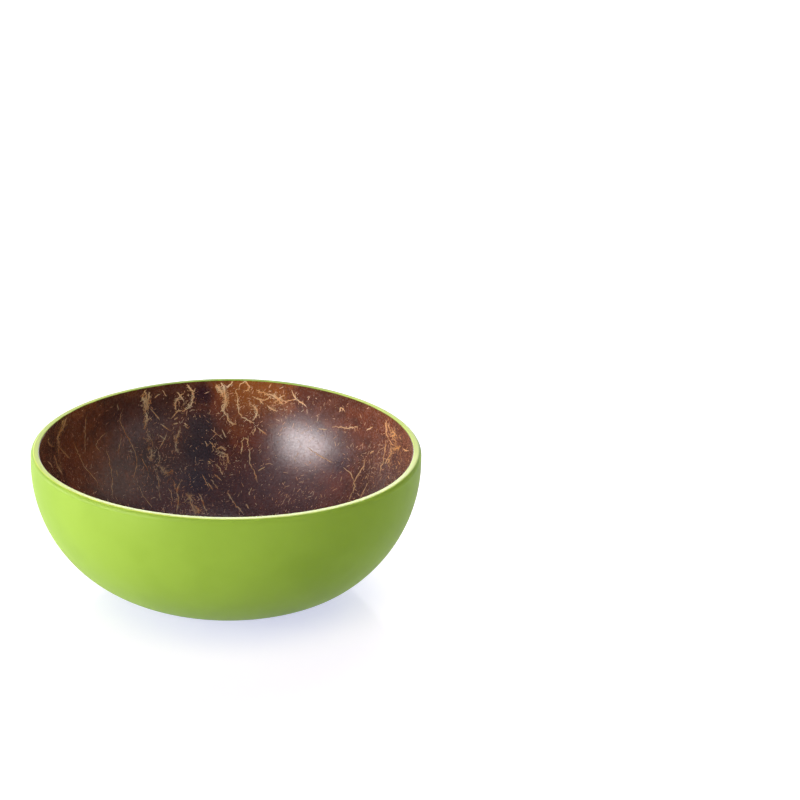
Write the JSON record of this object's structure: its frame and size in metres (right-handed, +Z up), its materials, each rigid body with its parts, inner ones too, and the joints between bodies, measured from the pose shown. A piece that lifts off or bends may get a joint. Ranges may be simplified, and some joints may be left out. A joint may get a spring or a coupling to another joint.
{
  "type": "coconut shell bowl",
  "caption": "Round-bellied bowl made from half a coconut shell, lacquered green outside and over the rim, varnished brown inside, standing on a sanded flat seat.",
  "frame": {"origin": "on the nut's axis, in the plane of the flat seat underneath", "axes": "+Z up out of the bowl's mouth, square to the seat; +X to the right and +Y away from the viewer as the bowl stands in the picture"},
  "size_m": [0.1393, 0.1396, 0.0555],
  "materials": {
    "shell": "scraped and sanded coconut shell, dark brown with tan fibres",
    "ground": "rubbed-down filler, matt",
    "lacquer": "satin leaf-green lacquer",
    "varnish": "clear satin varnish over the brown shell"
  },
  "bodies": {
    "root": {"coconut_shell": "shell", "ground_coat": "ground", "lacquer_coat": "lacquer", "inner_varnish": "varnish"}
  },
  "joints": []
}
